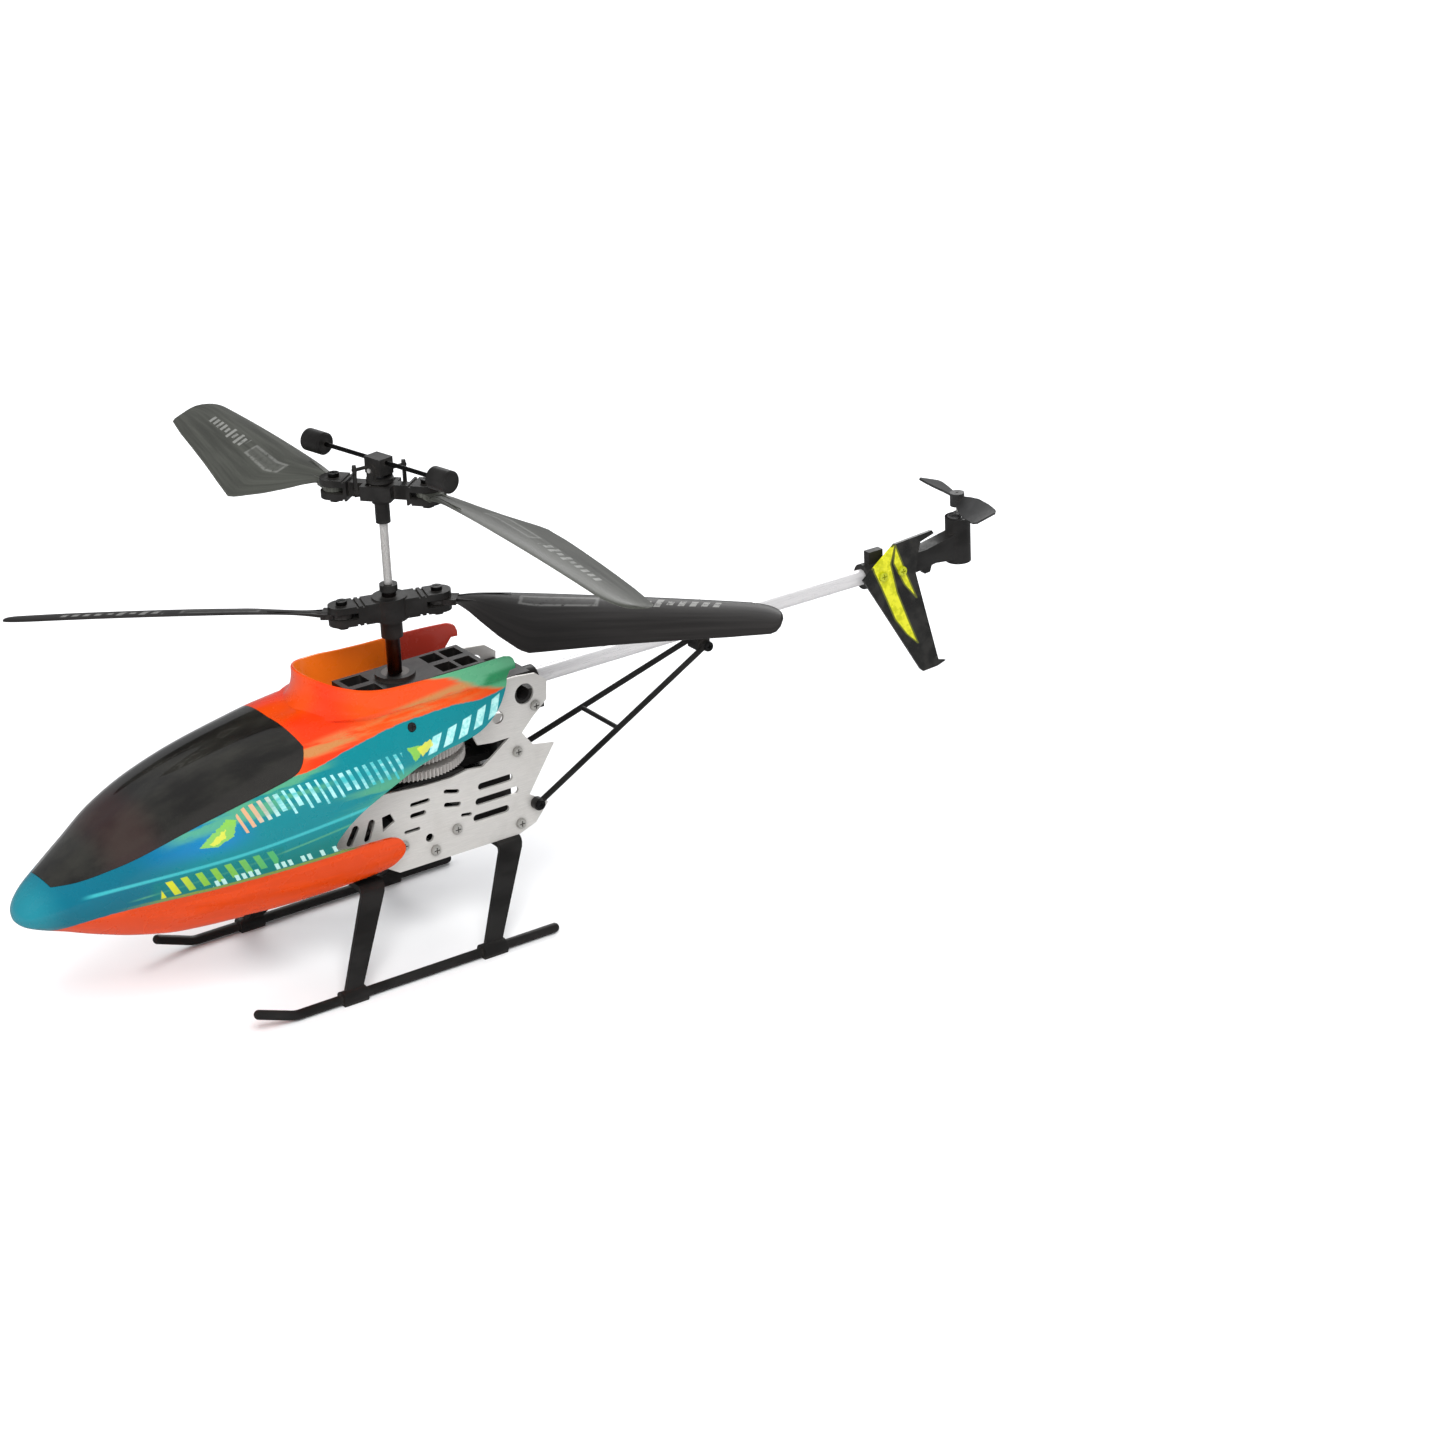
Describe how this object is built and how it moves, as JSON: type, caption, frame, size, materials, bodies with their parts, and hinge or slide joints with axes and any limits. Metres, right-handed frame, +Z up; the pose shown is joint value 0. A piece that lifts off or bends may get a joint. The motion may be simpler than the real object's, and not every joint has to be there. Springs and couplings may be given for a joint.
{
  "type": "coaxial toy helicopter",
  "caption": "Remote-control toy helicopter with two coaxial rotors on folding blades, a flybar, an open side-plate frame, a painted canopy, a tail boom and skids.",
  "frame": {"origin": "on the rotor axis, in the underside of the frame's floor; the ground is 32 mm below it", "axes": "+X to the nose, +Y to the helicopter's left, +Z up along the rotor axis"},
  "size_m": [0.4112, 0.2707, 0.182],
  "materials": {
    "plate_metal": "fine brushed, satin",
    "screw_steel": "satin",
    "dark_steel": "blackened",
    "shaft_steel": "ground",
    "motor_steel": "drawn can",
    "boom_aluminium": "drawn tube, semi-gloss",
    "pinion_brass": "machined",
    "black_plastic": "moulded satin",
    "gear_plastic": "moulded",
    "blade_plastic": "smooth satin",
    "fin_plastic": "gloss with yellow flashes",
    "canopy_paint": "gloss teal, orange and green paint",
    "dark_glazing": "gloss, almost black",
    "battery_wrap": "heat-shrink",
    "board_resin": "solder mask",
    "wire_rubber": "soft",
    "lamp_red": "clear tinted"
  },
  "bodies": {
    "airframe": {"left_side_plate": "plate_metal", "right_side_plate": "plate_metal", "frame_spacers": "plate_metal", "frame_screws": "screw_steel", "lower_bearing_block": "black_plastic", "upper_bearing_block": "black_plastic", "shaft_bearings": "screw_steel", "motor_mount": "black_plastic", "drive_motors": "motor_steel", "boom_tube": "boom_aluminium", "boom_holder": "black_plastic", "boom_supports": "black_plastic", "boom_clamp": "black_plastic", "black_screws": "dark_steel", "tail_fin": "fin_plastic", "tail_motor_mount": "black_plastic", "tail_motor": "motor_steel", "tail_wires": "wire_rubber", "front_landing_strut": "black_plastic", "rear_landing_strut": "black_plastic", "strut_bases": "black_plastic", "landing_skids": "black_plastic", "battery_tray": "black_plastic", "battery_pack": "battery_wrap", "receiver_board": "board_resin", "board_components": "black_plastic", "nose_light": "lamp_red", "canopy_shell": "canopy_paint", "windscreen": "dark_glazing", "canopy_pegs": "dark_steel", "switch_housing": "black_plastic", "charge_socket": "black_plastic", "frame_floor": "black_plastic"},
    "lower_rotor": {"outer_shaft": "shaft_steel", "upper_main_gear": "gear_plastic", "lower_rotor_hub": "black_plastic", "lower_blade_bolts": "dark_steel"},
    "lower_wing_a": {"lower_blade_a": "blade_plastic"},
    "lower_wing_b": {"lower_blade_b": "blade_plastic"},
    "upper_rotor": {"inner_shaft": "shaft_steel", "lower_main_gear": "gear_plastic", "shaft_collar": "black_plastic", "upper_head": "black_plastic", "head_pins": "shaft_steel"},
    "upper_grip": {"upper_blade_grip": "black_plastic", "upper_blade_bolts": "dark_steel"},
    "upper_wing_a": {"upper_blade_a": "blade_plastic"},
    "upper_wing_b": {"upper_blade_b": "blade_plastic"},
    "flybar": {"flybar_seat": "black_plastic", "flybar_rod": "dark_steel", "flybar_weights": "black_plastic"},
    "link_a": {"ball_link_a": "black_plastic"},
    "link_b": {"ball_link_b": "black_plastic"},
    "front_drive": {"front_motor_shaft": "shaft_steel", "front_pinion": "pinion_brass"},
    "rear_drive": {"rear_motor_shaft": "shaft_steel", "rear_pinion": "pinion_brass"},
    "tail_propeller": {"tail_rotor": "blade_plastic", "tail_shaft": "shaft_steel"},
    "power_switch": {"switch_slider": "gear_plastic"}
  },
  "joints": [
    {"name": "lower_rotor_spin", "type": "hinge", "parent": "airframe", "child": "lower_rotor", "pos_m": [0, 0, 0.092], "axis": [0, 0, 1], "continuous": true},
    {"name": "upper_rotor_spin", "type": "hinge", "parent": "airframe", "child": "upper_rotor", "pos_m": [0, 0, 0.1355], "axis": [0, 0, 1], "continuous": true},
    {"name": "rear_pinion_spin", "type": "hinge", "parent": "airframe", "child": "rear_drive", "pos_m": [-0.025, 0, 0.04], "axis": [0, 0, 1], "continuous": true},
    {"name": "front_pinion_spin", "type": "hinge", "parent": "airframe", "child": "front_drive", "pos_m": [0.025, 0, 0.0345], "axis": [0, 0, 1], "continuous": true},
    {"name": "tail_rotor_spin", "type": "hinge", "parent": "airframe", "child": "tail_propeller", "pos_m": [-0.249, 0, 0.07], "axis": [0, 0, 1], "continuous": true},
    {"name": "lower_blade_a_fold", "type": "hinge", "parent": "lower_rotor", "child": "lower_wing_a", "pos_m": [-0.0163, 0.00483, 0.092], "axis": [0, 0, 1], "range_deg": [-54, 56]},
    {"name": "lower_blade_b_fold", "type": "hinge", "parent": "lower_rotor", "child": "lower_wing_b", "pos_m": [0.0163, -0.00483, 0.092], "axis": [0, 0, 1], "range_deg": [-56, 54]},
    {"name": "flybar_teeter", "type": "hinge", "parent": "upper_rotor", "child": "flybar", "pos_m": [0, 0, 0.1435], "axis": [0.9781, 0.2079, 0], "range_deg": [-4, 4]},
    {"name": "upper_grip_feather", "type": "hinge", "parent": "upper_rotor", "child": "upper_grip", "pos_m": [0, 0, 0.1355], "axis": [-0.6293, 0.7771, 0], "range_deg": [-4.4, 4.4]},
    {"name": "link_a_lift", "type": "slide", "parent": "upper_rotor", "child": "link_a", "axis": [0, 0, 1], "range_m": [-0.00033, 0.00033]},
    {"name": "link_b_lift", "type": "slide", "parent": "upper_rotor", "child": "link_b", "axis": [0, 0, 1], "range_m": [-0.00033, 0.00033]},
    {"name": "upper_blade_a_fold", "type": "hinge", "parent": "upper_grip", "child": "upper_wing_a", "pos_m": [-0.0107, 0.01321, 0.1355], "axis": [0, 0, 1], "range_deg": [-9, 69]},
    {"name": "upper_blade_b_fold", "type": "hinge", "parent": "upper_grip", "child": "upper_wing_b", "pos_m": [0.0107, -0.01321, 0.1355], "axis": [0, 0, 1], "range_deg": [-5, 75]},
    {"name": "power_switch_slide", "type": "slide", "parent": "airframe", "child": "power_switch", "axis": [1, 0, 0], "range_m": [0, 0.004]}
  ],
  "couplings": [
    {"joint": "rear_pinion_spin", "follows": "lower_rotor_spin", "ratio": -7.3333},
    {"joint": "front_pinion_spin", "follows": "upper_rotor_spin", "ratio": -7.3333},
    {"joint": "upper_grip_feather", "follows": "flybar_teeter", "ratio": 1.0893},
    {"joint": "link_a_lift", "follows": "flybar_teeter", "m_per_rad": 0.0046839},
    {"joint": "link_b_lift", "follows": "flybar_teeter", "m_per_rad": -0.0046839}
  ]
}
